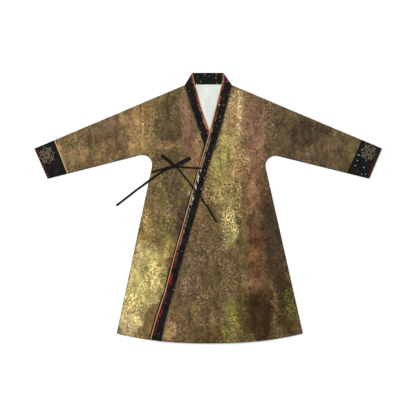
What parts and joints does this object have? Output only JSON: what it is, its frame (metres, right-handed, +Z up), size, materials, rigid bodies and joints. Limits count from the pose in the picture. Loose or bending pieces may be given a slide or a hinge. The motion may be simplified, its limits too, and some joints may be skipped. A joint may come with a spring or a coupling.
{
  "type": "hanfu robe, laid flat",
  "caption": "Crossed-collar robe laid flat, front up: A-line body, slanting sleeves with dark cuffs, a long dark collar band and a side tie in a bow.",
  "frame": {"origin": "middle of the outline of the robe as it lies, on the surface that it lies on; the ties are left out of the claim but lie inside that outline", "axes": "+X toward the wearer's left sleeve, +Y toward the collar, +Z up, out of the front of the robe"},
  "size_m": [1.4608, 1.137, 0.0108],
  "materials": {
    "print": "matt woven cloth with a mottled olive and brown wash print",
    "cuff": "matt black cloth with small pale specks and a gold and cream ornament",
    "collar": "matt black cloth with small pale specks and a red marbled stripe",
    "edging": "matt beige cloth",
    "lining": "plain off-white cloth",
    "tie": "matt black cloth strap"
  },
  "bodies": {
    "root": {"back": "print", "front_right": "print", "front_left": "print", "sleeve_right": "print", "sleeve_left": "print", "cuff_right": "cuff", "cuff_left": "cuff", "collar_back": "collar", "collar_right": "collar", "collar_left": "collar", "edging_right": "edging", "edging_left": "edging", "lining_back": "lining", "tie_side_base": "tie", "tie_side_loop": "tie", "tie_side_end": "tie", "tie_collar_base": "tie", "tie_collar_loop": "tie", "tie_collar_end": "tie", "tie_knot": "tie"}
  },
  "joints": []
}
